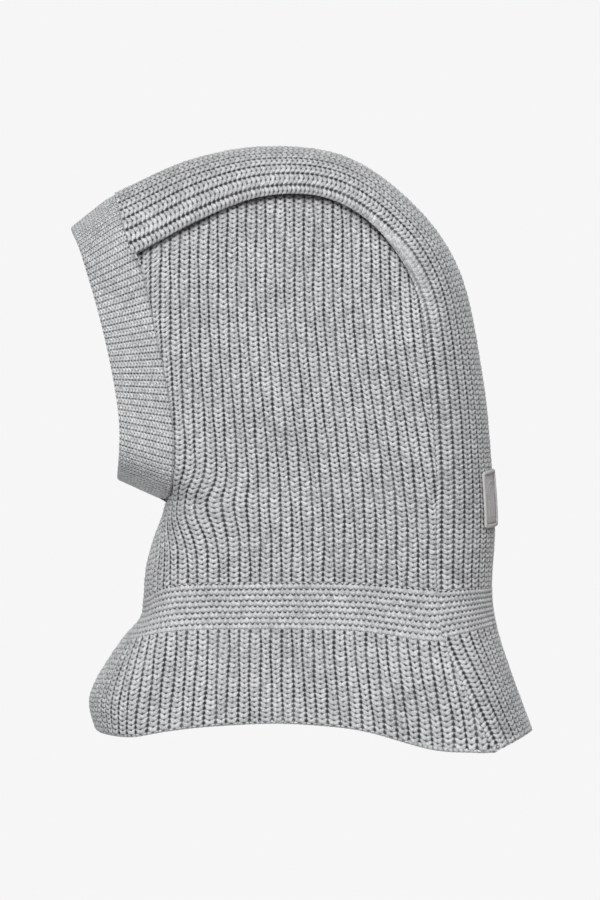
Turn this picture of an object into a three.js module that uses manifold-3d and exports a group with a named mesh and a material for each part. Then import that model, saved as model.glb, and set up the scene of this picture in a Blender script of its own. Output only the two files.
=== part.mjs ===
// A rib-knitted balaclava hood, opened out as it sits on a head. Millimetres, +Z up, the face
// towards -Y, the wearer's left at +X. The origin is where the inside of the crown rests on the
// top of the head. Every panel is a slice of one shell, so neighbours always meet at a seam.
import * as THREE from 'three';
import { mergeVertices } from 'three/addons/utils/BufferGeometryUtils.js';
import Module from 'manifold-3d';

const wasm = await Module();
wasm.setup();

// Overall sizes. The outlines below are drawn for drawnHeight and drawnDepth and follow these two.
const hoodHeight = 402; // crown to the lowest point of the hem
const hoodDepth = 312; // face edge to the back corner of the bib
const drawnHeight = 402;
const drawnDepth = 312;
const headHalfWidth = 67; // widest half width of the head part, outside
const neckHalfWidth = 57; // half width at the purl band round the neck, outside
const hemHalfWidth = 76; // half width of the bib at the hem, outside

// Knit and seams
const wall = 5; // thickness of the heavy rib
const bandWidth = 36; // face band, seam to folded edge
const bandSlot = 0.5; // space between the two layers of the folded face band
const foldDepth = 2.5; // solid fold at the front edge of the face band
const gap = 0.3; // clearance between pieces that are linked together
const seamHalfWidth = 3; // half width of the seam allowance inside
const seamThickness = 2.4;
const seamClearance = 0.5; // between the wall and the seam allowance under it
const edgeHeight = 3; // cast-off chain along the hem
const faceNarrowing = 4; // how much narrower each side is in front of the face edge than at the seam
const sectionLead = 8; // how far the shell starts in front of the face edge, before it is cut there
const seamLead = 60; // straight run past both ends of the crown seam, so that its cut leaves the hood

// Corner rounding of the cross section
const crownCorner = 44;
const throatCorner = 34;

// Patch on the back of the neck and the ribbon label inside
const patchWidth = 28;
const patchHeight = 38;
const patchCentre = 230; // below the top of the head
const patchOffset = 20; // from the middle of the back towards the left side
const patchThickness = 1.2;
const patchBorder = 2.2;
const borderThickness = 2;
const ribbonLength = 42;
const ribbonWidth = 26;
const ribbonThickness = 0.8;
const ribbonClearance = 0.6; // to the seam allowance that holds it
const ribbonDrop = 262; // centre of the ribbon label below the top of the head

const far = 2 * Math.max(hoodHeight, hoodDepth);
const stations = 30;
const cornerSteps = 4;
const sideSteps = 3;

// Side-view points as [y, z], stretched to the overall sizes.
const place = ([y, z]) => new THREE.Vector2(y * hoodDepth / drawnDepth, z * hoodHeight / drawnHeight);

// A smooth run through hand-placed points.
function smooth(points, steps) {
  return new THREE.SplineCurve(points.map(place)).getPoints(steps);
}

// The cross sections fan round the chin: each runs from a point under the face (throat) to a
// point on the crown, the back or the back hem, with the shell's half width there.
const faceTilt = { forehead: THREE.MathUtils.degToRad(218), chin: THREE.MathUtils.degToRad(157) };
const foreheadPoint = [-97, -26];
const chinPoint = [-63, -232];
const sections = [
  { throat: chinPoint, crown: foreheadPoint, half: headHalfWidth - 9 },
  { throat: [-63, -236], crown: [-47, -4], half: headHalfWidth - 5 },
  { throat: [-65, -242], crown: [4, 5], half: headHalfWidth - 2 },
  { throat: [-68, -249], crown: [58, -2], half: headHalfWidth },
  { throat: [-71, -257], crown: [104, -35], half: headHalfWidth },
  { throat: [-74, -266], crown: [134, -80], half: headHalfWidth },
  { throat: [-76, -276], crown: [149, -150], half: headHalfWidth - 2 },
  { throat: [-78, -288], crown: [155, -210], half: (headHalfWidth + neckHalfWidth) / 2 },
  { throat: [-78, -298], crown: [157, -250], half: neckHalfWidth + 1 },
  { throat: [-80, -309], crown: [154, -290], half: neckHalfWidth },
  { throat: [-91, -322], crown: [157, -311], half: neckHalfWidth + 4 },
  { throat: [-106, -342], crown: [167, -336], half: hemHalfWidth - 8 },
  { throat: [-114, -366], crown: [176, -362], half: hemHalfWidth - 2 },
  { throat: [-106, -402], crown: [188, -404], half: hemHalfWidth },
];

// Seam lines and stitch changes in side view, from front to back or from top to bottom.
const crownSeamLine = smooth([[-84, -69], [-63, -57], [-44, -48], [-25, -38], [-6, -32], [17, -29],
  [45, -31], [62, -37], [78, -51], [94, -70], [104, -94], [110, -130], [114, -178], [117, -225],
  [116, -262], [118, -300], [122, -324], [138, -360], [154, -397]], 26);
const bandSeamLine = smooth([foreheadPoint, [-93, -40], [-84, -68], [-76, -86], [-69, -118],
  [-61, -156], [-57, -184], [-57, -205], [-59, -226], chinPoint], 16);
const purlTopLine = smooth([[-110, -300], [-80, -297], [-60, -288], [-20, -286], [60, -286],
  [117, -290], [155, -289], [200, -289]], 10);
const purlBottomLine = smooth([[-120, -326], [-88, -323], [-62, -318], [-20, -316], [60, -317],
  [121, -324], [158, -314], [200, -308]], 10);
const hemLine = smooth([[-130, -380], [-112, -385], [-87, -387], [-60, -383], [-33, -380], [10, -378],
  [47, -380], [73, -384], [113, -395], [140, -397], [153, -396], [182, -384], [210, -374]], 18);

// The line moved sideways, positive to the left of its direction.
function shifted(line, distance) {
  return line.map((point, i) => {
    const before = line[Math.max(i - 1, 0)];
    const after = line[Math.min(i + 1, line.length - 1)];
    const along = after.clone().sub(before).normalize();
    return new THREE.Vector2(point.x - along.y * distance, point.y + along.x * distance);
  });
}

// The line with a straight lead in and a straight lead out.
function extended(line, lead) {
  const last = line.length - 1;
  const start = line[0].clone().sub(line[1]).setLength(lead).add(line[0]);
  const end = line[last].clone().sub(line[last - 1]).setLength(lead).add(line[last]);
  return [start, ...line, end];
}

const at = (y, z) => new THREE.Vector2(y, z);

// A side-view outline carried right across the hood.
function prism(outline) {
  const geometry = new THREE.ExtrudeGeometry(new THREE.Shape(outline), { depth: 2 * far, bevelEnabled: false });
  geometry.translate(0, 0, -far);
  geometry.applyMatrix4(new THREE.Matrix4().makeBasis(
    new THREE.Vector3(0, 1, 0), new THREE.Vector3(0, 0, 1), new THREE.Vector3(1, 0, 0)));
  return solid(geometry);
}

function block(x0, x1, y0, y1, z0, z1) {
  const geometry = new THREE.BoxGeometry(x1 - x0, y1 - y0, z1 - z0);
  geometry.translate((x0 + x1) / 2, (y0 + y1) / 2, (z0 + z1) / 2);
  return solid(geometry);
}

function solid(source) {
  const geometry = source.clone();
  geometry.deleteAttribute('normal');
  geometry.deleteAttribute('uv');
  const merged = mergeVertices(geometry, 1e-4);
  return new wasm.Manifold(new wasm.Mesh({
    numProp: 3,
    vertProperties: new Float32Array(merged.attributes.position.array),
    triVerts: new Uint32Array(merged.index.array),
  }));
}

// Halves of the hood either side of a seam line, each starting distance away from it.
function crownSide(distance) {
  const line = shifted(extended(crownSeamLine, seamLead), distance);
  return prism([...line, at(line.at(-1).x, -far), at(far, -far), at(far, far), at(-far, far), at(-far, line[0].y)]);
}

function cheekSide(distance) {
  const line = shifted(extended(crownSeamLine, seamLead), -distance);
  return prism([at(-far, line[0].y), at(-far, -far), at(line.at(-1).x, -far), ...line.reverse()]);
}

// The band seam is led out of the hood in the notch between chin and throat.
const chinExit = place([-90, -241]);
const foreheadExit = place([-107, 10]);
const bandSplit = (distance) => [foreheadExit, ...shifted(bandSeamLine, distance), chinExit];

function behindBand(distance) {
  return prism([at(foreheadExit.x, far), ...bandSplit(distance), at(-far, chinExit.y), at(-far, -far),
    at(far, -far), at(far, far)]);
}

function beforeBand(distance) {
  return prism([...bandSplit(-distance), at(-far, chinExit.y), at(-far, foreheadExit.y)]);
}

// Everything above or below a line that runs from front to back.
function above(line, distance) {
  const start = shifted(line, distance);
  return prism([at(-far, start[0].y), ...start, at(far, start.at(-1).y), at(far, far), at(-far, far)]);
}

function below(line, distance) {
  const start = shifted(line, -distance);
  return prism([at(-far, start[0].y), ...start, at(far, start.at(-1).y), at(far, -far), at(-far, -far)]);
}

const leftHalf = (distance) => block(distance, far, -far, far, -far, far);
const rightHalf = (distance) => block(-far, -distance, -far, far, -far, far);

// Face edge of the band: each point of the band seam carried forward by the band's width, in a
// direction that turns from down over the forehead to up under the chin.
function bandEdge(width) {
  return bandSeamLine.map((point, i) => {
    const turn = THREE.MathUtils.lerp(faceTilt.forehead, faceTilt.chin, i / (bandSeamLine.length - 1));
    return point.clone().add(at(Math.cos(turn), Math.sin(turn)).multiplyScalar(width));
  });
}

function insideFaceEdge(inset) {
  const edge = bandEdge(bandWidth - inset);
  return prism([at(edge[0].x, far), ...edge, at(edge.at(-1).x, -far), at(far, -far), at(far, far)]);
}

// Cross sections at even steps from the face edge to below the hem.
function sectionRun() {
  const lead = bandEdge(bandWidth + sectionLead);
  const first = { throat: lead.at(-1), crown: lead[0], half: sections[0].half - faceNarrowing };
  const placed = sections.map((row) => ({ throat: place(row.throat), crown: place(row.crown), half: row.half }));
  const rows = [first, ...placed];
  const throat = new THREE.CatmullRomCurve3(rows.map((row) => new THREE.Vector3(row.half, row.throat.x, row.throat.y)));
  const crown = new THREE.CatmullRomCurve3(rows.map((row) => new THREE.Vector3(row.half, row.crown.x, row.crown.y)));
  return Array.from({ length: stations + 1 }, (_, i) => {
    const low = throat.getPoint(i / stations);
    const high = crown.getPoint(i / stations);
    const lowAlong = throat.getTangent(i / stations);
    const highAlong = crown.getTangent(i / stations);
    return {
      throat: at(low.y, low.z),
      throatInward: at(-lowAlong.z, lowAlong.y).normalize(),
      crown: at(high.y, high.z),
      crownInward: at(highAlong.z, -highAlong.y).normalize(),
      half: low.x,
    };
  });
}

// One closed cross section, set in by depth from the outside: a quarter ellipse over the throat,
// a straight side and a quarter ellipse over the crown, mirrored to the other side.
function ring(section, depth) {
  const start = section.throat.clone().addScaledVector(section.throatInward, depth);
  const line = section.crown.clone().addScaledVector(section.crownInward, depth).sub(start);
  const length = line.length();
  line.normalize();
  const half = section.half - depth;
  const low = throatCorner - depth;
  const high = crownCorner - depth;
  const side = [];
  for (let i = 0; i <= cornerSteps; i += 1) {
    const turn = (i / cornerSteps) * Math.PI / 2;
    side.push([half * Math.sin(turn), low * (1 - Math.cos(turn))]);
  }
  for (let i = 1; i < sideSteps; i += 1) {
    side.push([half, THREE.MathUtils.lerp(low, length - high, i / sideSteps)]);
  }
  for (let i = cornerSteps; i >= 0; i -= 1) {
    const turn = (i / cornerSteps) * Math.PI / 2;
    side.push([half * Math.sin(turn), length - high * (1 - Math.cos(turn))]);
  }
  const loop = [...side, ...side.slice(1, -1).reverse().map(([x, along]) => [-x, along])];
  return loop.map(([x, along]) => {
    const point = start.clone().addScaledVector(line, along);
    return [x, point.x, point.y];
  });
}

// The whole hood as one wall between two depths below its outside.
function shell(outerDepth, innerDepth) {
  const run = sectionRun();
  const outer = run.map((section) => ring(section, outerDepth));
  const inner = run.map((section) => ring(section, innerDepth));
  const around = outer[0].length;
  const positions = [...outer, ...inner].flat(2);
  const vertex = (layer, i, j) => (layer * run.length + i) * around + (j % around);
  const faces = [];
  const quad = (a, b, c, d) => faces.push(a, b, c, a, c, d);
  for (let j = 0; j < around; j += 1) {
    for (let i = 0; i < run.length - 1; i += 1) {
      quad(vertex(0, i, j), vertex(0, i + 1, j), vertex(0, i + 1, j + 1), vertex(0, i, j + 1));
      quad(vertex(1, i, j), vertex(1, i, j + 1), vertex(1, i + 1, j + 1), vertex(1, i + 1, j));
    }
    const last = run.length - 1;
    quad(vertex(0, 0, j), vertex(0, 0, j + 1), vertex(1, 0, j + 1), vertex(1, 0, j));
    quad(vertex(0, last, j), vertex(1, last, j), vertex(1, last, j + 1), vertex(0, last, j + 1));
  }
  return new wasm.Manifold(new wasm.Mesh({
    numProp: 3,
    vertProperties: new Float32Array(positions),
    triVerts: new Uint32Array(faces),
  }));
}

const cut = (body, ...tools) => tools.reduce((rest, tool) => rest.intersect(tool), body);

const yarn = { color: 0xa4a5a8, roughness: 0.95, metalness: 0 };
const purlYarn = { color: 0x9fa0a3, roughness: 0.95, metalness: 0 };
const bandYarn = { color: 0xaaabad, roughness: 0.92, metalness: 0 };
const linkYarn = { color: 0x96979a, roughness: 0.95, metalness: 0 };
const patchCloth = { color: 0xafaeaf, roughness: 0.7, metalness: 0 };
const ribbonCloth = { color: 0xe9e8e4, roughness: 0.6, metalness: 0 };

const hood = new THREE.Group();

function add(name, body, look) {
  const { vertProperties, triVerts } = body.getMesh();
  const geometry = new THREE.BufferGeometry();
  geometry.setAttribute('position', new THREE.BufferAttribute(new Float32Array(vertProperties), 3));
  geometry.setIndex(new THREE.BufferAttribute(new Uint32Array(triVerts), 1));
  geometry.computeVertexNormals();
  const mesh = new THREE.Mesh(geometry, new THREE.MeshStandardMaterial(look));
  mesh.name = name;
  hood.add(mesh);
}

const half = gap / 2;
const knit = shell(0, wall);
const aboveEdge = above(hemLine, edgeHeight + half);
const panels = cut(knit, behindBand(half), aboveEdge);
const crownAndBack = cut(panels, crownSide(half));
const cheeks = cut(panels, cheekSide(half));

// The long panel from the forehead over the crown and down the back
function addCrownAndBack() {
  add('crown_panel', cut(crownAndBack, above(purlTopLine, half)), yarn);
  add('back_purl_band', cut(crownAndBack, below(purlTopLine, half), above(purlBottomLine, half)), purlYarn);
  add('back_bib', cut(crownAndBack, below(purlBottomLine, half)), yarn);
}

// The two side panels, which meet at the centre front below the chin
function addSide(side, halfSpace) {
  const panel = cut(cheeks, halfSpace(half));
  add(`side_panel_${side}`, cut(panel, above(purlTopLine, half)), yarn);
  add(`neck_purl_band_${side}`, cut(panel, below(purlTopLine, half), above(purlBottomLine, half)), purlYarn);
  add(`bib_${side}`, cut(panel, below(purlBottomLine, half)), yarn);
}

// Fine-rib band folded double round the face, open towards its seam
function addFaceBand() {
  const band = cut(knit, beforeBand(half), insideFaceEdge(0));
  const slot = cut(shell((wall - bandSlot) / 2, (wall + bandSlot) / 2), insideFaceEdge(foldDepth));
  add('face_band', band.subtract(slot), bandYarn);
}

// Seam allowances lie inside the wall, under the line where two panels are linked
function addSeams() {
  const under = wall + seamClearance;
  const lining = cut(shell(under, under + seamThickness), aboveEdge);
  const clearOfBand = behindBand(seamHalfWidth + gap);
  const crownSeam = cut(lining, crownSide(-seamHalfWidth), cheekSide(-seamHalfWidth), clearOfBand);
  add('crown_seam_left', cut(crownSeam, leftHalf(half)), linkYarn);
  add('crown_seam_right', cut(crownSeam, rightHalf(half)), linkYarn);
  add('face_band_seam', cut(lining, behindBand(-seamHalfWidth), beforeBand(-seamHalfWidth)), linkYarn);
  const front = block(-seamHalfWidth, seamHalfWidth, -far, 0, -far, place(chinPoint).y + wall);
  add('throat_seam', cut(lining, front, clearOfBand), linkYarn);
}

function addHemEdge() {
  add('hem_edge', cut(knit, above(hemLine, 0), below(hemLine, -edgeHeight + half)), linkYarn);
}

// Woven patch on the back of the neck, round its left corner, inside a raised border
function addPatch() {
  const centre = place([0, -patchCentre]).y;
  const frame = (inset) => block(patchOffset - patchWidth / 2 + inset, patchOffset + patchWidth / 2 - inset,
    0, far, centre - patchHeight / 2 + inset, centre + patchHeight / 2 - inset);
  const cloth = shell(-gap - patchThickness, -gap);
  const rim = shell(-gap - borderThickness, -gap);
  add('patch', cut(cloth, frame(patchBorder + gap)), patchCloth);
  add('patch_border', cut(rim, frame(0)).subtract(frame(patchBorder)), patchCloth);
}

// Half width of the shell at a depth below its outside, at a side-view point on the crown's side
function halfWidthAt(point, depth) {
  const away = ({ throat, crown }) => {
    const line = crown.clone().sub(throat).normalize();
    return Math.abs(line.cross(point.clone().sub(throat)));
  };
  const section = sectionRun().reduce((best, next) => (away(next) < away(best) ? next : best));
  const rounded = Math.min((section.crown.distanceTo(point) - depth) / (crownCorner - depth), 1);
  return (section.half - depth) * Math.sqrt(1 - (1 - rounded) ** 2);
}

// Ribbon care label caught in the left seam at the nape; it swings about the seam
function addRibbonLabel() {
  const centre = place([0, -ribbonDrop]).y;
  const spread = ribbonWidth / 2;
  const seam = crownSeamLine.reduce((best, point) => (
    Math.abs(point.y - centre) < Math.abs(best.y - centre) ? point : best));
  const root = seam.x - seamHalfWidth;
  const seamDepth = wall + seamClearance + seamThickness;
  const seamFace = Math.min(...[-spread, 0, spread].map((z) => halfWidthAt(at(root, centre + z), seamDepth)));
  const hinge = new THREE.Group();
  hinge.position.set(seamFace - ribbonClearance - ribbonThickness / 2, root, centre);
  const ribbon = new THREE.Mesh(new THREE.BoxGeometry(ribbonThickness, ribbonLength, ribbonWidth),
    new THREE.MeshStandardMaterial(ribbonCloth));
  ribbon.position.set(0, -ribbonLength / 2, 0);
  ribbon.name = 'care_label';
  hinge.add(ribbon);
  hood.add(hinge);
}

addCrownAndBack();
addSide('left', leftHalf);
addSide('right', rightHalf);
addFaceBand();
addSeams();
addHemEdge();
addPatch();
addRibbonLabel();

export default hood;
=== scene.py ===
import math
from types import SimpleNamespace

import bpy
import numpy as np
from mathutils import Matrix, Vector


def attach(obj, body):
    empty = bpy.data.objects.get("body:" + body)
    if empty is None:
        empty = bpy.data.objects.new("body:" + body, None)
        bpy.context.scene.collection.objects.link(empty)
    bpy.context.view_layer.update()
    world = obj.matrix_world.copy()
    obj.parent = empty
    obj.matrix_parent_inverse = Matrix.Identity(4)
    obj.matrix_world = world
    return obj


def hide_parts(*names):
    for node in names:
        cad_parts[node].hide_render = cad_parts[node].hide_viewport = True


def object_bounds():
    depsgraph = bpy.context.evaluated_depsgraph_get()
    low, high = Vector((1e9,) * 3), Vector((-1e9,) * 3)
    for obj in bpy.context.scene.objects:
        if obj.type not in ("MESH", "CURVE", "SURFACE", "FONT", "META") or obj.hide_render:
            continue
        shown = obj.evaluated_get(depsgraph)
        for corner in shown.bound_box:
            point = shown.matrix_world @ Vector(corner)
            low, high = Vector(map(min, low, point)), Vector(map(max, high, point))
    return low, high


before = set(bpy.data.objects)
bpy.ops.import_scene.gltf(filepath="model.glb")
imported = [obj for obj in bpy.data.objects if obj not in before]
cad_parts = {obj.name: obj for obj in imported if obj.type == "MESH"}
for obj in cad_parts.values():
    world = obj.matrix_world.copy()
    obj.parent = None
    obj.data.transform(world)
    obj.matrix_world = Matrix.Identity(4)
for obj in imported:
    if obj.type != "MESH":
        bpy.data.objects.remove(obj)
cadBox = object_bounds()

# The hood is worked out in millimetres, seen from its left side: y runs back from the face and
# z up, with x across. hood["height"] is the height these numbers are drawn for.
hood = dict(height=402.3, wall=5.0, throatCorner=34.0, faceHalf=58.0, faceNarrowing=9.0, faceReach=42,
            tuckReach=8, grooveReach=2.2, chinTop=-200.0, foreheadSide=-69.0, seed=7)
unit = (cadBox[1][2] - cadBox[0][2]) / hood["height"]


# A smooth run through given points: a cubic between each two, whose slope at a point is
# half the step between its neighbours. count points come back, evenly spaced along it.
def smooth(points, count=240):
    p = np.array(points, float)
    p = np.vstack([2 * p[0] - p[1], p, 2 * p[-1] - p[-2]])
    t = np.linspace(0, len(p) - 3 - 1e-9, 40 * len(p))
    i = t.astype(int)
    f = (t - i)[:, None]
    a, b, c, d = p[i], p[i + 1], p[i + 2], p[i + 3]
    run = b + 0.5 * f * (c - a + f * (2 * a - 5 * b + 4 * c - d + f * (3 * (b - c) + d - a)))
    return evenly(run, count)


def lengths(run):
    return np.r_[0, np.cumsum(np.linalg.norm(np.diff(run, axis=0), axis=1))]


def evenly(run, count):
    s = lengths(run)
    at = np.linspace(0, s[-1], count)
    return np.stack([np.interp(at, s, column) for column in run.T], 1)


def ramp(value, low, high):
    t = np.clip((value - low) / (high - low), 0, 1)
    return t * t * (3 - 2 * t)


def bump(value, width):
    return np.exp(-(value / width) ** 2)


# Outlines and seams
foreheadPoint = (-97, -26)
chinPoint = (-63, -232)
crownSeam = smooth([(-84, -69), (-63, -57), (-44, -48), (-25, -38), (-6, -32), (17, -29), (45, -31),
                    (62, -37), (78, -51), (94, -70), (104, -94), (110, -130), (114, -178), (117, -225),
                    (116, -262), (118, -300), (122, -324), (138, -360), (154, -397)], 300)
bandSeam = smooth([foreheadPoint, (-93, -40), (-84, -68), (-76, -86), (-69, -118), (-61, -156),
                   (-57, -184), (-57, -205), (-59, -226), chinPoint])
bandFront = smooth([(-127, -50), (-119, -68), (-107, -108), (-98, -148), (-93.5, -180), (-94, -200),
                    (-96, -217)])
throat = smooth([chinPoint, (-66, -243), (-71, -256), (-76, -275), (-78, -297), (-80, -309), (-91, -322),
                 (-104, -341), (-112, -356), (-114, -368), (-110, -384), (-106, -400)])
purlTop = smooth([(-110, -300), (-80, -297), (-60, -288), (-20, -286), (60, -286), (117, -290), (155, -289),
                  (200, -289)])
purlBottom = smooth([(-120, -326), (-88, -323), (-62, -318), (-20, -316), (60, -317), (121, -324),
                     (158, -314), (200, -308)])
hem = smooth([(-130, -380), (-112, -385), (-87, -387), (-60, -383), (-33, -380), (10, -378), (47, -380),
              (73, -384), (113, -395), (140, -397), (153, -396), (182, -384), (210, -374)])
halfWidths = smooth([(5, 50), (-30, 58), (-70, 64), (-120, 67), (-180, 66), (-230, 61), (-270, 58),
                     (-303, 56.5), (-330, 62), (-360, 71), (-400, 76), (-420, 77)])


def heightOf(line, y):
    return np.interp(y, line[:, 0], line[:, 1])


def backOf(line, z):
    order = np.argsort(line[:, 1])
    return np.interp(z, line[order, 1], line[order, 0])


def halfAt(z):
    return np.interp(-z, -halfWidths[:, 0], halfWidths[:, 1])


# How far back the front of the body starts at each height. Below the chin that is the throat.
# Above it the front moves forward of the band seam, so that the seam's lower end curls in to the
# middle as a quarter ellipse.
def frontOf(z):
    low = chinPoint[1]
    share = np.clip((hood["chinTop"] - z) / (hood["chinTop"] - low), 0, 1)
    above = backOf(bandSeam, z) - hood["throatCorner"] * (1 - share)
    return np.where(z > low, above, backOf(throat, z))


# Nearest point on a side-view line, in blocks so that the arrays stay small. It gives that point's
# y and z, the distance to it, and a side that is positive to the left of the line's direction.
def nearest(y, z, line):
    shape = y.shape
    q = np.stack([y.ravel(), z.ravel()], 1)
    a, d = line[:-1], np.diff(line, axis=0)
    step = (d ** 2).sum(1)
    out = np.empty((len(q), 4))
    for start in range(0, len(q), 4000):
        part = q[start:start + 4000, None, :]
        t = np.clip(((part - a) * d).sum(2) / step, 0, 1)
        foot = a + t[..., None] * d
        gap = ((part - foot) ** 2).sum(2)
        best = gap.argmin(1)
        row = np.arange(len(best))
        foot = foot[row, best]
        away = part[:, 0] - foot
        side = np.sign(d[best, 0] * away[:, 1] - d[best, 1] * away[:, 0])
        out[start:start + 4000] = np.c_[foot, np.sqrt(gap[row, best]), side]
    return [column.reshape(shape) for column in out.T]


# Half width of the body at a side-view point, without ribs. It is a quarter ellipse over the
# throat, narrows towards the face, and tucks in under the rolled edge of the crown panel.
def bodyHalf(y, z, seamGap=None, bandGap=None):
    seamGap = nearest(y, z, crownSeam)[2] if seamGap is None else seamGap
    bandGap = nearest(y, z, bandSeam)[2] if bandGap is None else bandGap
    rounded = np.clip((y - frontOf(z)) / hood["throatCorner"], 0, 1)
    wide = halfAt(z) - narrowing(bandGap, z)
    return wide * np.sqrt(1 - (1 - rounded) ** 2) - tuckedIn(seamGap, tuckAt(y, z))


def narrowing(bandGap, z):
    return hood["faceNarrowing"] * bump(bandGap, hood["faceReach"]) * ramp(z, -250, -200)


def tuckedIn(seamGap, tuck):
    return tuck * bump(seamGap, hood["tuckReach"]) + seamGroove(seamGap, tuck)


# How far the side panel tucks in under the crown's roll: most over the forehead and crown, and
# hardly at all down the back
def tuckAt(y, z):
    return 0.4 + 7.2 * ramp(z, -114, -50) * (1 - 0.3 * ramp(y, 70, 104))


# How far the crown panel stands out past the seam
def overAt(tuck):
    return 0.35 + 1.38 * tuck


def seamGroove(gap, tuck):
    return (0.1 + 0.4 * ramp(tuck, 0.4, 2.0)) * bump(gap, hood["grooveReach"])


# The stitch patterns are written once and used twice: on arrays, for the relief of the mesh, and on
# shader sockets, for its colour. maths gives floor, cos, exp and absolute for either.
onArrays = SimpleNamespace(floor=np.floor, cos=np.cos, exp=np.exp, absolute=np.abs)


# Height of the heavy rib, from 0 in a groove to 1. k counts ribs and is whole in the grooves, and v
# counts courses. Each rib is two rows of lobes that lean in a V. Between them lies a dark hole at
# every course, and half a course away the groove opens in a wider hole between two bars.
ribStitch = dict(pitAt=0.62, holeAt=0.12, barWidth=0.18, pitWidth=0.15, barDepth=0.58, pitDepth=0.42,
                 sharpness=16, holeDepth=0.62, lean=0.5, leanDepth=0.6)


def ribHeight(maths, k, v):
    look = ribStitch
    a = maths.absolute(k % 1 - 0.5) * 2
    pit = maths.cos((v - look["pitAt"]) * (2 * math.pi)) * 0.5 + 0.5
    hole = maths.cos((v - look["holeAt"]) * (2 * math.pi)) * 0.5 + 0.5
    gap = (1 - a) / (pit * look["pitWidth"] + look["barWidth"])
    lean = (v - a * look["lean"]) % 1 * 2 - 1
    groove = maths.exp(gap * gap * -1) * (pit * look["pitDepth"] + look["barDepth"])
    middle = maths.exp(a * a * -look["sharpness"]) * hole * look["holeDepth"]
    return (1 - groove) * (1 - middle) * (1 - (lean * lean) ** 2 * look["leanDepth"])


# Garter ridges: v counts ridges and k counts loops along a ridge. The furrows between them run in
# small arcs, deepest at the top of each arc, and each furrow's arcs sit between those of the next.
purlStitch = dict(arc=0.17, depth=0.7, arcDepth=0.3)


def purlHeight(maths, k, v):
    swing = maths.cos(k * (2 * math.pi)) * maths.cos(v * math.pi)
    across = (v + swing * purlStitch["arc"]) % 1
    furrow = 1 - across * (1 - across) * 4
    return 1 - furrow * (swing * purlStitch["arcDepth"] + purlStitch["depth"])


# Low, wide undulations of hand-knitted cloth
def sway(y, z, size):
    return size * (np.sin(y / 19 + 1.3) * np.sin(z / 27 + 0.4) + 0.6 * np.sin(y / 41 - z / 33 + 2.1))


# Unit normals of a grid of points, from the steps along its rows and columns
def gridNormals(p):
    n = np.cross(np.gradient(p, axis=1), np.gradient(p, axis=0))
    size = np.linalg.norm(n, axis=2, keepdims=True)
    return n / np.maximum(size, 1e-9)


# Writes grids of points, in millimetres, as one mesh. Each grid is (points, uv, keep), with
# plainness and painted shade after them where it has some. A face is left out where keep is false at
# all its corners or where it has no area. uv counts stitches. The other pair is how plain the stitches
# are, and how much painted shade darkens them in a seam's crease.
def makePiece(name, grids, material, slot, body="hood"):
    points, loops, uvs, plainAndShades, base = [], [], [], [], 0
    for p, uv, keep, *plainAndShade in grids:
        rows, columns = p.shape[:2]
        local = np.arange(rows * columns).reshape(rows, columns)
        corners = np.stack([local[:-1, :-1], local[:-1, 1:], local[1:, 1:], local[1:, :-1]], 2)
        corners = corners.reshape(-1, 4)
        flat = p.reshape(-1, 3)
        a, b, c, d = (flat[corner] for corner in corners.T)
        shown = keep.reshape(-1)[corners].any(1)
        shown &= np.linalg.norm(np.cross(c - a, d - b), axis=1) > 1e-3
        points.append(flat)
        loops.append(base + corners[shown])
        uvs.append(uv.reshape(-1, 2))
        plainAndShades.append(plainAndShade[0].reshape(-1, 2) if plainAndShade else np.zeros((len(flat), 2)))
        base += rows * columns
    points, loops = np.vstack(points), np.vstack(loops)
    used = np.unique(loops)
    renumber = np.zeros(len(points), int)
    renumber[used] = np.arange(len(used))
    loops = renumber[loops]
    mesh = bpy.data.meshes.new(name)
    mesh.vertices.add(len(used))
    mesh.vertices.foreach_set("co", (points[used] * unit).astype(np.float32).ravel())
    mesh.loops.add(loops.size)
    mesh.loops.foreach_set("vertex_index", loops.ravel().astype(np.int32))
    mesh.polygons.add(len(loops))
    mesh.polygons.foreach_set("loop_start", np.arange(0, loops.size, 4, dtype=np.int32))
    # The second UV map carries plainness and the painted shade of seam creases
    for title, values in (("stitches", uvs), ("plainAndShade", plainAndShades)):
        layer = mesh.uv_layers.new(name=title)
        pairs = np.vstack(values)[used][loops.ravel()]
        layer.data.foreach_set("uv", pairs.astype(np.float32).ravel())
    mesh.update(calc_edges=True)
    mesh.validate()
    mesh.shade_smooth()
    piece = bpy.data.objects.new(name, mesh)
    bpy.context.scene.collection.objects.link(piece)
    mesh.materials.append(material)
    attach(piece, body)
    print(name, len(mesh.polygons), "faces, area", round(areaOf(piece), 4))
    return piece


def areaOf(piece):
    return sum(p.area for p in piece.data.polygons)


def mirrored(grids):
    return [(p[:, ::-1] * (-1, 1, 1), *(rest[:, ::-1] for rest in others)) for p, *others in grids]


# A shader socket that can be used in sums. Adding, taking away, multiplying and so on put Math
# nodes into the tree that the socket belongs to.
class Socket:
    def __init__(self, shader, socket):
        self.shader, self.socket = shader, socket

    def output(self, number):
        return Socket(self.shader, self.socket.node.outputs[number])

    def __add__(self, other):
        return self.shader.math("ADD", self, other)

    def __radd__(self, other):
        return self.shader.math("ADD", other, self)

    def __sub__(self, other):
        return self.shader.math("SUBTRACT", self, other)

    def __rsub__(self, other):
        return self.shader.math("SUBTRACT", other, self)

    def __mul__(self, other):
        return self.shader.math("MULTIPLY", self, other)

    def __rmul__(self, other):
        return self.shader.math("MULTIPLY", other, self)

    def __truediv__(self, other):
        return self.shader.math("DIVIDE", self, other)

    def __mod__(self, other):
        return self.shader.math("FLOORED_MODULO", self, other)

    def __pow__(self, other):
        return self.shader.math("POWER", self, other)


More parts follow.
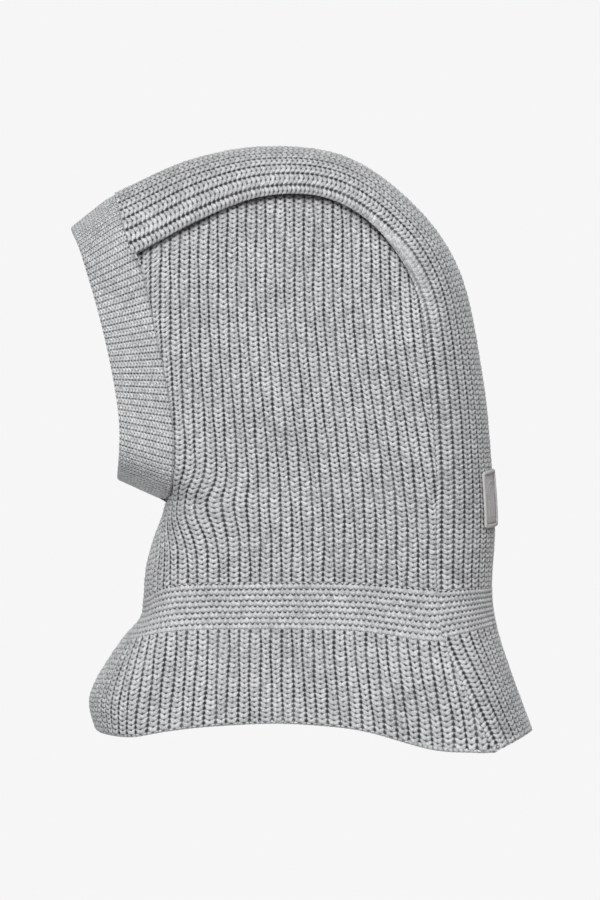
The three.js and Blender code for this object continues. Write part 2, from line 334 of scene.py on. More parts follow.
class Shader:
    def __init__(self, name):
        self.material = bpy.data.materials.new(name)
        self.material.use_nodes = True
        self.tree = self.material.node_tree
        self.tree.nodes.clear()

    # One node: settings are set first, then each input in order or by name. None leaves an input
    # as it is. The first output comes back unless another is asked for, and nothing if it has none.
    def node(self, kind, settings, *values, output=0, **named):
        made = self.tree.nodes.new(kind)
        for key, value in settings.items():
            setattr(made, key, value)
        inputs = [(made.inputs[i], value) for i, value in enumerate(values)]
        inputs += [(made.inputs[key.replace("_", " ")], value) for key, value in named.items()]
        for target, value in inputs:
            if isinstance(value, Socket):
                self.tree.links.new(value.socket, target)
            elif value is not None:
                target.default_value = value
        return Socket(self, made.outputs[output]) if made.outputs else None

    def math(self, operation, *values):
        return self.node("ShaderNodeMath", dict(operation=operation), *values)

    def floor(self, value):
        return self.math("FLOOR", value)

    def cos(self, value):
        return self.math("COSINE", value)

    def exp(self, value):
        return self.math("EXPONENT", value)

    def absolute(self, value):
        return self.math("ABSOLUTE", value)

    def ramp(self, value, low, high):
        smoothly = dict(interpolation_type="SMOOTHSTEP")
        return self.node("ShaderNodeMapRange", smoothly, value, low, high, 0.0, 1.0)

    def mix(self, share, low, high):
        unused = [None] * 5
        return self.node("ShaderNodeMix", dict(data_type="RGBA"), share, *unused, low, high, output=2)

    def vector(self, *values):
        return self.node("ShaderNodeCombineXYZ", {}, *values)

    # The two numbers of a UV map
    def pair(self, title):
        both = self.node("ShaderNodeSeparateXYZ", {}, self.node("ShaderNodeUVMap", dict(uv_map=title)))
        return both, both.output(1)

    def noise(self, place, scale, detail=2.0, roughness=0.5):
        return self.node("ShaderNodeTexNoise", {}, place, None, scale, detail, roughness)

    # Object coordinates
    def place(self):
        return self.node("ShaderNodeTexCoord", {}, output=3)

    def finish(self, colour, roughness, normal, **fixed):
        return self.show(self.node("ShaderNodeBsdfPrincipled", {}, colour, Roughness=roughness,
                                   Normal=normal, **fixed))

    def show(self, surface):
        self.node("ShaderNodeOutputMaterial", {}, surface)
        return self.material


def grey(level, blue=0.012):
    return (level * (1 - blue), level, level * (1 + blue), 1)


# Grey melange yarn. Pale and dark fibres show as fine flecks, each stitch is a little paler or
# darker than its neighbour, and wide clouds of dye lie over them. Holes and grooves get painted shade,
# as they would hold almost no light, some less than others, and fuzz blurs the gloss.
# hole is the colour of the painted shade in holes, grooves and seam creases
yarn = dict(pale=0.76, dark=0.24, hole=0.03, fleck=1000, cloud=26, patchy=90, stitchSpread=0.30,
            bump=0.0007, relief=0.8, roughness=0.93)


# height, pitch and course are the stitch pattern and its size in millimetres. A hole's painted shade
# starts where the pattern sinks holeLow below its top, and is full at holeHigh.
def knitMaterial(name, look, height, pitch, course, holeLow=0.12, holeHigh=0.85):
    s = Shader(name)
    k, v = s.pair("stitches")
    # How plain the stitches are, and how much painted shade darkens them in seam creases
    plain, paintedShade = s.pair("plainAndShade")
    place = s.place()
    high = height(s, k, v)
    fibres = s.noise(place, look["fleck"], 2.0, 0.7)
    along = s.vector(k * (pitch * 0.9) + v * (course * 0.5), v * (course * 0.35), 0.0)
    twist = s.noise(along, 2.2, 2.0, 0.6)
    cloud = s.noise(place, look["cloud"])
    stitch = s.node("ShaderNodeTexWhiteNoise", dict(noise_dimensions="2D"),
                    s.vector(s.floor(k * 2), s.floor(v - s.absolute(k % 1 - 0.5)), 0.0))
    fleck = s.ramp(fibres * 0.6 + twist * 0.4, 0.34, 0.66)
    share = fleck * 0.62 + stitch * look["stitchSpread"] + (cloud - 0.5) * 0.4
    base = s.mix(share, grey(look["dark"], 0.03), grey(look["pale"], 0.006))
    patchy = s.noise(place, look["patchy"], 2.0) * 0.7 + 0.62
    # Painted shade in the holes and grooves of the stitch pattern, patchy, and weaker where the stitches
    # are plain
    holeShade = s.ramp(1 - high, holeLow, holeHigh) * (1 - plain * 0.8) * patchy
    shaded = s.mix(holeShade, base, grey(look["hole"], 0.05))
    # Painted shade in the creases along the seams, darkest where the crown's roll overhangs
    shaded = s.mix(paintedShade, shaded, grey(look["hole"], 0.05))
    bumps = high * (1 - plain * 0.7) + fibres * 0.25 + twist * 0.2
    normal = s.node("ShaderNodeBump", {}, Strength=look["relief"], Distance=look["bump"],
                    Height=bumps)
    return s.finish(shaded, look["roughness"], normal, Sheen_Weight=0.2, Sheen_Roughness=0.5,
                    Specular_IOR_Level=0.2)


ribYarn = knitMaterial("heavyRibWool", yarn, ribHeight, 6.9, 3.3)
purlYarn = knitMaterial("garterWool", yarn, purlHeight, 3.6, 3.7, holeLow=0.02, holeHigh=0.80)
bandYarn = knitMaterial("fineRibWool", yarn, ribHeight, 4.4, 1.93, holeLow=0.10, holeHigh=1.1)

# Side panels, below the crown seam and behind the band seam
sideKnit = dict(middleRib=10, middle=-8.7, middleLean=9.3, pitch=6.33, pitchGain=0.6, course=3.3,
                depth=1.6, outside=(8, 4), inside=(4, 2), flat=(0.190, 0.262), area=0.0415)
purlKnit = dict(loop=3.6, ridges=8, depth=1.2, outside=(6, 6), inside=(3, 4), flat=(0.240, 0.030),
                area=0.0067)
bibKnit = dict(courses=19, flare=0.6, flat=(0.270, 0.080), area=0.0168)


def leanAt(z):
    return ramp(-z, 83, 262)


def sectionPoint(u, z):
    turn = np.clip(u, 0, 1) * math.pi / 2
    y = frontOf(z) + hood["throatCorner"] * (1 - np.cos(turn)) + np.clip(u - 1, 0, None) * 100
    return y, np.sin(turn)


# Where rib k runs: at each height its place along the section is worked out from the rib in the
# middle of the panel and the pitch, and kept in a table. at gives the section parameter u, which is
# 0 at the middle of the throat and 1 where its corner ends, and the distance from that middle.
class RibTable:
    def __init__(self, zLow, zHigh, pitch, kLow, kHigh):
        self.z = np.linspace(zLow, zHigh, 150)
        self.k = np.linspace(kLow, kHigh, 500)
        us = np.r_[np.linspace(0, 1, 80), np.linspace(1, 3.4, 80)[1:]]
        rows, fronts = [], []
        for z in self.z:
            y, sine = sectionPoint(us, np.full(us.shape, z))
            s = lengths(np.c_[y, sine * halfAt(z)])
            middle = sideKnit["middle"] + sideKnit["middleLean"] * leanAt(z)
            count = sideKnit["middleRib"] + (s - np.interp(middle, y, s)) / pitch(z)
            rows.append(np.interp(self.k, count, us))
            fronts.append((self.k - count[0]) * pitch(z))
        self.u, self.front = np.array(rows), np.array(fronts)

    # The rib at the middle of the throat, at each height
    def frontRib(self, z):
        first = np.array([np.interp(0, row, self.k) for row in self.front])
        return np.interp(z, self.z, first)

    def at(self, k, z):
        i = np.clip((z - self.z[0]) / (self.z[1] - self.z[0]), 0, len(self.z) - 1.001)
        j = np.clip((k - self.k[0]) / (self.k[1] - self.k[0]), 0, len(self.k) - 1.001)
        i0, j0 = i.astype(int), j.astype(int)
        fi, fj = i - i0, j - j0
        found = []
        for table in (self.u, self.front):
            low = table[i0, j0] * (1 - fj) + table[i0, j0 + 1] * fj
            high = table[i0 + 1, j0] * (1 - fj) + table[i0 + 1, j0 + 1] * fj
            found.append(low * (1 - fi) + high * fi)
        return found


# Hand-made unevenness: every stitch has its own small step in or out, the same on each run.
unevenness = np.random.default_rng(hood["seed"]).normal(0, 1, (64, 64))


def stitchStep(k, v):
    return unevenness[np.floor(k * 2).astype(int) % 64, np.floor(v - np.abs(k % 1 - 0.5)).astype(int) % 64]


def sinkAt(height, k, v, edge, depth):
    return (1 - height(onArrays, k, v) * edge * (1 + 0.05 * stitchStep(k, v))) * depth


# The ribs next to the front edge are drawn together at the chin, and spread again away from it.
def drawnIn(z, first, k):
    return -2.7 * bump(z - chinPoint[1] + 3, 19) * bump(k - first - 6.5, 5) * ramp(k - first, 0, 5)


# At the middle of the throat the cloth faces straight forward.
def forward(normals, front, z):
    slope = (frontOf(z + 1) - frontOf(z - 1)) / 2
    ahead = np.stack([0 * z, 0 * z - 1, slope], 2)
    share = (1 - ramp(front, 0.5, 3.0))[..., None]
    mixed = normals * (1 - share) + ahead * share
    return mixed / np.maximum(np.linalg.norm(mixed, axis=2, keepdims=True), 1e-9)


# A zone of the side panel as a grid of columns k and rows v. heights(y, v) gives z. The points
# outside the seams are drawn in to the nearest point of the seam. unrest scales how unevenly the
# courses run, and rounding is how far the ribs' lower ends round over, in courses.
def sideGrid(columns, k, v, heights, depth, height, inward=False, unrest=1.0, rounding=0.0):
    k, v = np.meshgrid(k, v)
    inner = ramp(v - v.min(), 0, 4) * ramp(v.max() - v, 0, 4)
    rib = k + 0.05 * np.sin(v / 3.7 + k * 2.3) + 0.025 * np.sin(v / 1.4 + k * 4.1)
    course = v + inner * unrest * (0.16 * np.sin(k * 0.9 + v / 11) + 0.10 * np.sin(k * 2.9 - v / 5))
    z = heights(np.zeros(k.shape), course)
    for _ in range(3):
        u, front = columns.at(rib + drawnIn(z, columns.frontRib(z), k), z)
        y, sine = sectionPoint(u, z)
        z = heights(y, course)
    keep = front > 0
    onBand = nearest(y, z, bandSeam)
    cut = (onBand[3] < 0) & (z > chinPoint[1])
    onCrown = nearest(y, z, crownSeam)
    over = onCrown[3] > 0
    for foot, out in ((onBand, cut), (onCrown, over)):
        y, z = np.where(out, foot[0], y), np.where(out, foot[1], z)
        keep &= ~out
    bandGap = np.where(cut, 0, onBand[2])
    seamGap = np.where(over, 0, onCrown[2])
    rounded = np.clip((y - frontOf(z)) / hood["throatCorner"], 0, 1)
    factor = np.where(cut | over | (u > 1), np.sqrt(1 - (1 - rounded) ** 2), sine)
    tuck = tuckAt(y, z)
    swayed = sway(y, z, 0.8) * ramp(seamGap, 4, 30) - pinchAt(y, z) - 0.3 * bump(bandGap, 2.0)
    x = (halfAt(z) - narrowing(bandGap, z) + swayed) * factor - tuckedIn(seamGap, tuck)
    x = np.where(front <= 0, 0, np.maximum(x, 0))
    p = np.stack([x, y, z], 2)
    normals = forward(gridNormals(p), front, z)
    bySeam = 1 - (1 - ramp(seamGap, 0, 1.8)) * (0.2 + 0.35 * ramp(tuck, 0.4, 2.0))
    edge = np.minimum(bySeam, 0.45 + 0.55 * ramp(bandGap, 0, 1.4))
    edge = edge * ramp(v, -0.2 - rounding, 2 * rounding - 0.1)
    fall = sinkAt(height, k, v, edge, depth)
    if inward:
        p = p - normals * (hood["wall"] - fall)[..., None]
        p[..., 0] = np.maximum(p[..., 0], 0)
    else:
        p = p - normals * fall[..., None]
    # Painted shade in the crease under the crown's roll and along the band seam
    paintedShade = 0.75 * bump(seamGap, 2.5) * ramp(tuck, 1.5, 4) + 0.12 * bump(bandGap, 1.2)
    made = (p, np.stack([k, v], 2), keep, np.stack([0 * k, paintedShade], 2))
    return tuple(part[:, ::-1] for part in made) if inward else made


# Folds that spread from the chin, where the panel is gathered into the end of the band seam
def pinchAt(y, z):
    away = np.hypot(y - chinPoint[0], z - chinPoint[1])
    turn = np.arctan2(z - chinPoint[1], y - chinPoint[0])
    return (1.5 * np.cos(5 * turn + 0.8) + 1.2) * np.exp(-away / 20) * ramp(away, 0, 6)


def steps(low, high, each):
    return np.linspace(low, high, int(round((high - low) * each)) + 1)


def bothSides(name, node, grids, innerGrids, material, slot, look):
    for side, turned in (("Left", False), ("Right", True)):
        outside, inside = (mirrored(made) if turned else made for made in (grids, innerGrids))
        outer = makePiece(f"{name}{side}", outside, material, slot)
        lining = makePiece(f"{name}{side}Inside", inside, material, slot)
        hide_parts(f"{node}_{side.lower()}")


def addSidePanels():
    look = sideKnit

    def pitch(z):
        return look["pitch"] + look["pitchGain"] * leanAt(z)

    table = RibTable(-330, -20, pitch, -16, 33)

    def heights(y, v):
        return heightOf(purlTop, y) + v * look["course"]

    grids = []
    for (perRib, perCourse), inward in ((look["outside"], False), (look["inside"], True)):
        k, v = steps(-14, 30, perRib), steps(0, 80, perCourse)
        grids.append([sideGrid(table, k, v, heights, look["depth"], ribHeight, inward)])
    bothSides("sidePanel", "side_panel", *grids, ribYarn, "rib_knit", look)


def addNeckBands():
    look = purlKnit
    table = RibTable(-345, -270, lambda z: look["loop"], -40, 62)

    def heights(y, v):
        share = v / look["ridges"]
        return heightOf(purlBottom, y) * (1 - share) + heightOf(purlTop, y) * share

    grids = []
    for (perLoop, perRidge), inward in ((look["outside"], False), (look["inside"], True)):
        k, v = steps(-38, 60, perLoop), steps(0, look["ridges"], perRidge)
        grids.append([sideGrid(table, k, v, heights, look["depth"], purlHeight, inward, unrest=0.3)])
    bothSides("neckPurlBand", "neck_purl_band", *grids, purlYarn, "purl_knit", look)


def addBibs():
    look, courses = sideKnit, bibKnit["courses"]

    def pitch(z):
        return look["pitch"] + look["pitchGain"] + bibKnit["flare"] * ramp(-z, 316, 395)

    table = RibTable(-410, -300, pitch, -20, 36)

    def heights(y, v):
        share = v / courses
        return (heightOf(hem, y) + hemEdge["shown"]) * (1 - share) + heightOf(purlBottom, y) * share

    grids = []
    for (perRib, perCourse), inward in ((look["outside"], False), (look["inside"], True)):
        k, v = steps(-18, 34, perRib), steps(0, courses, perCourse)
        grids.append([sideGrid(table, k, v, heights, look["depth"], ribHeight, inward, rounding=0.4)])
    bothSides("bib", "bib", *grids, ribYarn, "rib_knit", bibKnit)


# Crown and back panel: rows run across it from seam to seam. Each row joins a point on the
# crown's middle line to its point on the seam.
crownKnit = dict(ribs=9, course=3.3, depth=1.6, square=1.75, shoulder=4.5, shoulderShare=0.62, lip=0.8,
                 tail=4.0, outside=(8, 4), inside=(4, 2), loops=20, ridges=8)
crownRows = smooth([(-97, -26, -84, -69), (-47, -4, -38, -44.7), (4, 5, 3, -29.7), (58, -2, 45, -31),
                    (104, -35, 80, -53.5), (134, -80, 103.5, -93), (149, -150, 112, -150),
                    (155, -210, 116.3, -212), (157, -250, 116.4, -250), (155, -289, 117, -291),
                    (158, -314, 121, -322), (168, -346, 136, -357), (182, -384, 154, -397)], 900)


def rowNear(z):
    behind = crownRows[:, 0] > 120
    return int(np.argmin(np.where(behind, np.abs(crownRows[:, 1] - z), 1e9)))


# One cross section, from the middle line at q = 0 to the seam at q = 1 in even steps of cloth, as x
# and the distance from the middle line. It is a superellipse, then a round shoulder that reaches
# a little past the seam, a short wall in to it, and a tail that lies behind the side panel.
def crownSection(q, seamX, over, across, shoulder, tail):
    power = 2 / crownKnit["square"]
    turn = np.linspace(0, math.pi / 2, 90)
    corner = np.linspace(0, math.pi / 2, 12)[1:]
    top, lip = seamX + over, crownKnit["lip"] * shoulder / crownKnit["shoulder"]
    x = np.r_[top * np.sin(turn) ** power, top - shoulder * (1 - np.cos(corner)), seamX, seamX - tail]
    d = np.r_[(across - shoulder) * (1 - np.cos(turn) ** power),
              across - shoulder + (shoulder + lip) * np.sin(corner), across, across + 0.5 * tail]
    s = lengths(np.c_[x, d])
    at = np.abs(q) * s[-1]
    return np.sign(q) * np.interp(at, s, x), np.interp(at, s, d), np.maximum(s[-1] - tail - at, 0)


def crownBase(rows, q, inward=False):
    seamX = bodyHalf(rows[:, 2], rows[:, 3])
    tuck = tuckAt(rows[:, 2], rows[:, 3])
    across = np.hypot(rows[:, 0] - rows[:, 2], rows[:, 1] - rows[:, 3])
    over = overAt(tuck)
    shoulder = np.minimum(crownKnit["shoulder"], crownKnit["shoulderShare"] * over)
    if inward:
        over, shoulder = np.minimum(over, 3), np.full(len(rows), 0.5)
    tail = 0 if inward else crownKnit["tail"]
    sections = [crownSection(q, *row, tail) for row in zip(seamX, over, across, shoulder)]
    x, d, edge = (np.array(part) for part in zip(*sections))
    toSeam = (rows[:, 2:] - rows[:, :2]) / across[:, None]
    yz = rows[:, None, :2] + toSeam[:, None] * d[..., None]
    return np.stack([x, yz[..., 0], yz[..., 1]], 2), edge


# The ribs along the panel's edges are plain where it turns down behind the crown.
def plainAt(y, z, edge):
    return bump(np.hypot(y - 82, z + 66), 38) * (1 - ramp(edge, 10, 18))


def crownGrid(rows, q, k, v, height, inward):
    p, edge = crownBase(rows, q, inward)
    normals = gridNormals(p)
    k, v = np.meshgrid(k, v)
    plain = plainAt(rows[:, 2], rows[:, 3], edge.T).T
    lift = 1 - (1 - height(onArrays, k, v)) * (1 - 0.8 * plain)
    tuck = tuckAt(rows[:, 2], rows[:, 3])[:, None]
    bySeam = 1 - (1 - ramp(edge, 0, 2)) * (0.2 + 0.4 * ramp(tuck, 0.4, 2.0))
    fall = (1 - lift * bySeam * (1 + 0.05 * stitchStep(k, v))) * crownKnit["depth"]
    # Painted shade at the edge where the crown's roll overhangs the seam
    paintedShade = 0.7 * bump(edge, 3.0) * ramp(tuck, 1.5, 4)
    p = p - normals * ((hood["wall"] - fall) if inward else fall)[..., None]
    made = (p, np.stack([k, v], 2), np.ones(k.shape, bool), np.stack([plain, paintedShade], 2))
    return tuple(part[:, ::-1] for part in made) if inward else made


def addCrownAndBack():
    look = crownKnit
    top, bottom = rowNear(-289), rowNear(-314)
    rib = (look["ribs"], look["outside"], ribHeight, ribYarn, "rib_knit", None)
    purl = (look["loops"], purlKnit["outside"], purlHeight, purlYarn, "purl_knit", look["ridges"])
    zones = [("crownPanel", "crown_panel", 0, top, rib),
             ("backPurlBand", "back_purl_band", top, bottom, purl),
             ("backBib", "back_bib", bottom, len(crownRows) - 1, rib)]
    for name, node, first, last, (ribs, outside, height, material, slot, ridges) in zones:
        part = crownRows[first:last + 1]
        s = lengths((part[:, :2] + part[:, 2:]) / 2)
        total = ridges or round(s[-1] / look["course"])
        made = []
        for (perRib, perCourse), inward in ((outside, False), (look["inside"], True)):
            v = steps(0, total, perCourse)
            rows = np.stack([np.interp(v / total * s[-1], s, column) for column in part.T], 1)
            k = steps(-ribs, ribs, perRib)
            made.append([crownGrid(rows, k / ribs, k, total - v, height, inward)])
        outer = makePiece(name, made[0], material, slot)
        lining = makePiece(name + "Inside", made[1], material, slot)
        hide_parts(node)


# Face band: fine rib folded double. The rows go round the opening and the columns from the outer
# seam over the fold to the inner seam. tucked is the share of its width that runs on under the side
# panel, and dive is how far it sinks there.
bandKnit = dict(width=36.0, pitch=4.4, stitches=18, depth=0.8, layer=2.4, edgeHalf=53.0, tucked=0.05,
                dive=6.0, outside=(6, 3), flat=(0.075, 0.520), area=0.0370)


# The band seam as a loop in three dimensions, with the face edge beside it: over the forehead and
# under the chin it is a quarter ellipse, and between them it runs down the side.
def bandLoop():
    top, low = hood["foreheadSide"], hood["chinTop"]
    turn = np.linspace(0, math.pi / 2, 60)
    zTop = top + (foreheadPoint[1] - top) * np.cos(turn)
    zLow = low + (chinPoint[1] - low) * np.sin(turn)
    z = np.r_[zTop, np.linspace(top, low, 80)[1:], zLow[1:]]
    share = np.r_[np.sin(turn), np.ones(79), np.cos(turn)[1:]]
    y = backOf(bandSeam, z)
    s, whole = lengths(bandSeam), lengths(bandFront)
    along = np.interp(-z, -bandSeam[:, 1], s) / s[-1] * whole[-1]
    front = [np.interp(along, whole, column) for column in bandFront.T]
    half = np.c_[hood["faceHalf"] * share, y, z, bandKnit["edgeHalf"] * share, front[0], front[1]]
    return np.vstack([half, (half * (-1, 1, 1, -1, 1, 1))[::-1][1:]])


def addFaceBand():
    look = bandKnit
    full = bandLoop()
    s = lengths((full[:, :3] + full[:, 3:]) / 2)
    ribs = round(s[-1] / look["pitch"])
    perRib, perStitch = look["outside"]
    k = np.linspace(0, ribs, ribs * perRib + 1)
    loop = np.stack([np.interp(k / ribs * s[-1], s, column) for column in full.T], 1)
    seam, front = loop[:, None, :3], loop[:, None, 3:]
    v = steps(0, look["stitches"] * 2, perStitch)
    w = (v / look["stitches"])[None, :]
    share = (np.where(w < 1, w, 2 - w) * (1 + look["tucked"]) - look["tucked"])[..., None]
    base = seam + (front - seam) * share
    n = np.cross((front - seam)[:, 0], np.gradient(seam[:, 0], axis=0))
    n /= np.linalg.norm(n, axis=1, keepdims=True)
    fold = np.clip((1 - share[..., 0]) * look["width"] / look["layer"], 0, 1)
    offset = look["layer"] * np.sqrt(1 - (1 - fold) ** 2) * np.where(w < 1, 1, -1)
    atChin = ramp(-seam[..., 2], 205, 228)
    bySeam = 1.3 * bump(share[..., 0] * look["width"], 5) * (1 - 0.8 * atChin)
    dive = look["dive"] * ramp(-share[..., 0], 0, look["tucked"])
    drop = look["layer"] + (w < 1) * (bySeam + dive)
    p = base + n[:, None, :] * (offset - drop)[..., None]
    k, v = np.meshgrid(k, v, indexing="ij")
    normals = gridNormals(p)
    flip = np.sign((normals[:, 10] * n).sum(1).mean())
    edge = ramp(share[..., 0] * look["width"], -1.2, 1.2)
    p = p - normals * flip * sinkAt(ribHeight, k, v, edge, look["depth"])[..., None]
    # Painted shade along the crease of the band seam
    paintedShade = 0.3 * bump(share * look["width"], 1.2)
    plainAndShade = np.concatenate([0 * share, paintedShade], 2) + 0 * k[..., None]
    made = (p, np.stack([k, v], 2), np.ones(k.shape, bool), plainAndShade)
    grid = made if flip > 0 else tuple(part[::-1] for part in made)
    piece = makePiece("faceBand", [grid], bandYarn, "band_knit")
    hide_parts("face_band")


# Linked seams and the cast-off edge: a flat cord of yarn that lies along a line, twisted so that
# it shows one slanting stitch after another. thick is its thickness along up, and wide is half its
# width across that.
linkKnit = dict(stitch=3.4, perStitch=4, around=12)
hemEdge = dict(height=3.0, shown=0.9, inset=0.9)


def addBead(name, node, path, up, wide, thick, closed=False, body="hood"):
    s = lengths(path)
    count = max(int(s[-1] / linkKnit["stitch"]), 3)
    v = np.linspace(0, count, count * linkKnit["perStitch"] + 1)
    at = v / count * s[-1]
    line = np.stack([np.interp(at, s, column) for column in path.T], 1)
    up = np.stack([np.interp(at, s, column) for column in np.broadcast_to(up, path.shape).T], 1)
    along = np.gradient(line, axis=0)
    if closed:
        along[0] = along[-1] = line[1] - line[-2]
    across = np.cross(along, up)
    across /= np.linalg.norm(across, axis=1, keepdims=True)
    up = np.cross(across, along)
    up /= np.linalg.norm(up, axis=1, keepdims=True)
    turn = np.linspace(0, 2 * math.pi, linkKnit["around"] + 1)[None, :]
    swell = 0.84 + 0.16 * np.sqrt(np.abs(np.sin(math.pi * (v[:, None] + turn / (2 * math.pi)))))
    if not closed:
        swell = swell * np.sqrt(np.clip(np.minimum(v, count - v) / 0.6, 0.02, 1))[:, None]
    p = line[:, None] + across[:, None] * (np.cos(turn) * wide * swell)[..., None]
    p += up[:, None] * (np.sin(turn) * thick / 2 * swell)[..., None]
    k = np.broadcast_to(turn / math.pi, swell.shape)
    uv = np.stack([k, np.broadcast_to(v[:, None], k.shape)], 2)
    piece = makePiece(name, [(p, uv, np.ones(k.shape, bool))], linkYarn, "link_yarn", body)
    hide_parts(node)
    return piece


def linkHeight(maths, k, v):
    return maths.absolute((v + k * 0.5) % 1 - 0.5) * -1.2 + 1


linkYarn = knitMaterial("linkedWool", yarn, linkHeight, 3.0, 3.4, holeLow=0.1, holeHigh=0.9)


def addSeams():
    y, z = crownSeam[8:-6].T
    under = bodyHalf(y, z) - hood["wall"] - 0.9
    for side, sign in (("Left", 1), ("Right", -1)):
        path = np.c_[sign * under, y, z]
        addBead(f"crownSeam{side}", f"crown_seam_{side.lower()}", path, (1, 0, 0), 3.0, 2.2)
    loop = bandLoop()[:, :3]
    inward = np.c_[-loop[:, 0], np.zeros(len(loop)), -(loop[:, 2] + 130) * 0.6]
    inward /= np.linalg.norm(inward, axis=1, keepdims=True)
    addBead("faceBandSeam", "face_band_seam", loop + inward * 6.0 + (0, 1.0, 0), inward, 2.8, 2.0)
    line = throat[(throat[:, 1] < chinPoint[1] - 6) & (throat[:, 1] > -380)]
    path = np.c_[np.zeros(len(line)), line[:, 0] + hood["wall"] + 1.2, line[:, 1]]
    addBead("throatSeam", "throat_seam", path, (0, 1, 0), 2.8, 2.2)


# The hem runs from the throat round the side along the hem line, then across the back.
def addHemEdge():
    u = np.linspace(0, 3.2, 500)
    z = np.full(u.shape, -384.0)
    for _ in range(3):
        y, sine = sectionPoint(u, z)
        z = heightOf(hem, y)
    side = np.c_[halfAt(z) * sine, y, z][y < crownRows[-1, 2]]
    back, _ = crownBase(crownRows[-1:], np.linspace(0.95, -0.95, 120))
    loop = np.vstack([side, back[0], (side * (-1, 1, 1))[::-1]])
    loop = evenly(loop, 700)
    along = np.gradient(loop, axis=0)
    out = np.c_[along[:, 1], -along[:, 0], np.zeros(len(loop))]
    out /= np.linalg.norm(out, axis=1, keepdims=True)
    path = loop - out * (hood["wall"] / 2 + hemEdge["inset"]) + (0, 0, hemEdge["height"] / 2)
    addBead("hemEdge", "hem_edge", path, out, hemEdge["height"] / 2 + 0.2, hood["wall"] - 1.0, closed=True)


# Patch on the back: woven cloth with a pressed pattern of arcs and bars, inside a corded border
patch = dict(middle=20.0, drop=-230.0, width=28.0, height=38.0, border=2.4, corner=3.0, cloth=1.2, cord=2.1,
             lean=0.07, weave=0.45)


# A point of the patch: across and up are measured on it from its middle, and lift stands off the
# outside of the back panel.
def onBack(across, up, lift):
    behind = crownRows[crownRows[:, 0] > 120]
    x = patch["middle"] + across + patch["lean"] * up
    rise = patch["drop"] + up - patch["lean"] * across

    def surface(x, rise):
        rows = [np.interp(-rise, -behind[:, 1], column) for column in behind.T]
        over = overAt(tuckAt(rows[2], rows[3]))
        top = bodyHalf(rows[2], rows[3]) + over
        power = 2 / crownKnit["square"]
        turn = np.arcsin(np.clip(x / top, 0, 1) ** (1 / power))
        reach = np.hypot(rows[0] - rows[2], rows[1] - rows[3])
        share = (1 - np.cos(turn) ** power) * (reach - crownKnit["shoulderShare"] * over) / reach
        y = rows[0] + (rows[2] - rows[0]) * share
        return np.stack([x, y, rows[1] + (rows[3] - rows[1]) * share], -1)

    p = surface(x, rise)
    n = np.cross(surface(x + 0.5, rise) - surface(x - 0.5, rise),
                 surface(x, rise + 0.5) - surface(x, rise - 0.5))
    n /= np.linalg.norm(n, axis=-1, keepdims=True)
    n = n * np.sign(n[..., 1:2])
    return p + n * lift[..., None]


# Height of the pressed pattern, from 0 to 1: two arcs over a row of three bars
def pressed(x, y):
    away = np.hypot(x, y - 3)
    arcs = bump(away - 8.5, 0.7) + bump(away - 5, 0.7)
    arcs = arcs * ramp(y, 2.2, 3.4)
    bars = bump(np.abs(np.abs(x) - 5.5) * (np.abs(x) > 2.5) + np.abs(x) * (np.abs(x) <= 2.5), 0.75)
    return np.clip(arcs + bars * ramp(y, -12.5, -11.5) * (1 - ramp(y, -1.5, -0.5)), 0, 1)


def patchLoop(inset, count):
    w, h = patch["width"] / 2 - inset, patch["height"] / 2 - inset
    r = max(patch["corner"] - inset, 0.4)
    turn = np.linspace(0, math.pi / 2, 9)
    corner = np.c_[w - r + r * np.cos(turn), h - r + r * np.sin(turn)]
    signs = ((1, 1), (-1, 1), (-1, -1), (1, -1))
    parts = [(corner if sx * sy > 0 else corner[::-1]) * (sx, sy) for sx, sy in signs]
    return evenly(np.vstack(parts + [parts[0][:1]]), count)


def addPatch():
    inner = patch["border"] * 0.5
    across, up = np.meshgrid(np.linspace(-1, 1, 97) * (patch["width"] / 2 - inner),
                             np.linspace(-1, 1, 131) * (patch["height"] / 2 - inner))
    rim = np.minimum(patch["width"] / 2 - inner - np.abs(across), patch["height"] / 2 - inner - np.abs(up))
    lift = patch["cloth"] - 0.35 + 0.55 * pressed(across, up) - 0.5 * bump(rim - 1.2, 0.8)
    lift = np.where(rim <= 1e-6, 0.0, lift)
    uv = np.stack([across / patch["weave"], up / patch["weave"]], 2)
    sheet = (onBack(across, up, lift), uv, np.ones(up.shape, bool))
    cloth = makePiece("wovenPatch", [sheet], patchCloth, "patch_cloth")
    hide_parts("patch")
    count = 420
    loop = patchLoop(patch["border"] / 2, count)
    along = np.gradient(loop, axis=0)
    along[0] = along[-1] = loop[1] - loop[-2]
    out = np.c_[along[:, 1], -along[:, 0]] / np.linalg.norm(along, axis=1, keepdims=True)
    turn = np.linspace(-0.15 * math.pi, 1.15 * math.pi, 15)
    v = np.arange(count)[:, None] / 3.0
    ridges = 1 + 0.05 * np.sin(2 * math.pi * v)
    side = np.cos(turn)[None, :] * patch["border"] / 2 * ridges
    x = loop[:, :1] + out[:, :1] * side
    y = loop[:, 1:] + out[:, 1:] * side
    lift = np.maximum(np.sin(turn), -0.2)[None, :] * patch["cord"] / 2 * ridges + patch["cord"] / 2
    uv = np.stack([np.broadcast_to(turn, x.shape), np.broadcast_to(v, x.shape)], 2)
    tube = (onBack(x, y, lift), uv, np.ones(x.shape, bool))
    cord = makePiece("patchBorder", [tube], patchCord, "patch_cloth")
    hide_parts("patch_border")


def patchClothMaterial():
    s = Shader("patchWeave")
    k, v = s.pair("stitches")
    place = s.place()
    weave = s.cos(k * (2 * math.pi)) * s.cos(v * (2 * math.pi))
    cloud = s.noise(place, 160, 3.0)
    share = weave * 0.22 + cloud * 0.7
    colour = s.mix(share, (0.31, 0.30, 0.305, 1), (0.60, 0.585, 0.59, 1))
    normal = s.node("ShaderNodeBump", {}, Strength=0.5, Distance=0.0002, Height=weave * 0.5 + cloud)
    return s.finish(colour, 0.62, normal, Sheen_Weight=0.15, Specular_IOR_Level=0.35)


